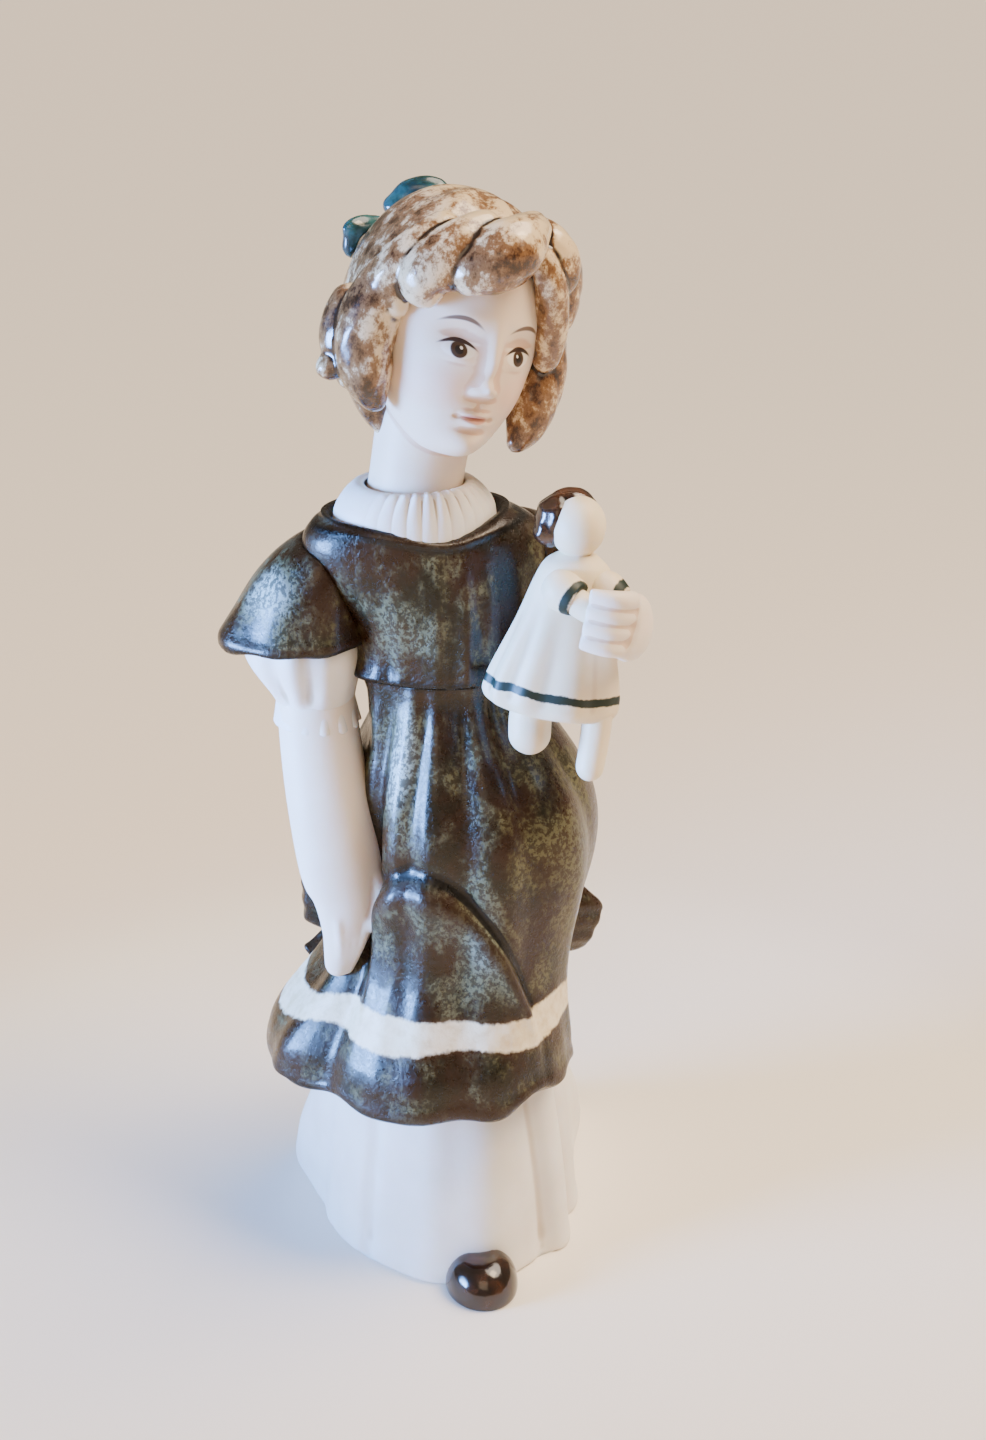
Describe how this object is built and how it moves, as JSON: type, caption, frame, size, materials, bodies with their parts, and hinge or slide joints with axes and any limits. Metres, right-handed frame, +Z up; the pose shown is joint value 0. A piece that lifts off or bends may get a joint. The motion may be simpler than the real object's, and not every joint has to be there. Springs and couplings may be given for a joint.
{
  "type": "porcelain figurine",
  "caption": "Slip-cast porcelain figurine of a standing girl in a glazed dress who hugs a small doll in one arm; it stands free on a flat foot.",
  "frame": {"origin": "middle of the figurine's bounding box, on the table", "axes": "+Z up; the girl faces -Y and her left hand side is +X"},
  "size_m": [0.083, 0.0776, 0.2129],
  "materials": {
    "bisque_white": "unglazed matte bisque",
    "bisque_skin": "unglazed matte bisque, faintly warm",
    "dress_glaze": "gloss olive-brown mottled glaze with pale specks",
    "hair_glaze": "gloss brown glaze broken to cream",
    "hair_bow_glaze": "gloss dark teal glaze",
    "shoe_glaze": "gloss near-black brown glaze",
    "doll_hair_glaze": "gloss dark brown glaze, brushed edge"
  },
  "bodies": {
    "root": {"bodice": "dress_glaze", "collar_frill": "bisque_white", "doll_dress": "bisque_white", "doll_hair": "doll_hair_glaze", "doll_head": "bisque_skin", "doll_left_leg": "bisque_skin", "doll_left_sleeve": "bisque_white", "doll_right_arm": "bisque_skin", "doll_right_leg": "bisque_skin", "doll_right_sleeve": "bisque_white", "fringe_roll": "hair_glaze", "hair_bow_knot": "hair_bow_glaze", "hair_bow_left_loop": "hair_bow_glaze", "hair_bow_right_loop": "hair_bow_glaze", "hair_crown": "hair_glaze", "head": "bisque_skin", "left_arm": "bisque_skin", "left_cap_sleeve": "dress_glaze", "left_hand": "bisque_skin", "left_lower_curl": "hair_glaze", "left_undersleeve": "bisque_white", "left_upper_curl": "hair_glaze", "nape_hair": "hair_glaze", "overskirt": "dress_glaze", "right_arm": "bisque_skin", "right_cap_sleeve": "dress_glaze", "right_flick_curl": "hair_glaze", "right_hand": "bisque_skin", "right_side_curl": "hair_glaze", "right_sleeve_frill": "bisque_white", "right_undersleeve": "bisque_white", "sash_bow_knot": "dress_glaze", "sash_bow_left_loop": "dress_glaze", "sash_bow_right_loop": "dress_glaze", "sash_tail_left": "dress_glaze", "sash_tail_right": "dress_glaze", "shoe": "shoe_glaze", "underskirt": "bisque_white"}
  },
  "joints": []
}
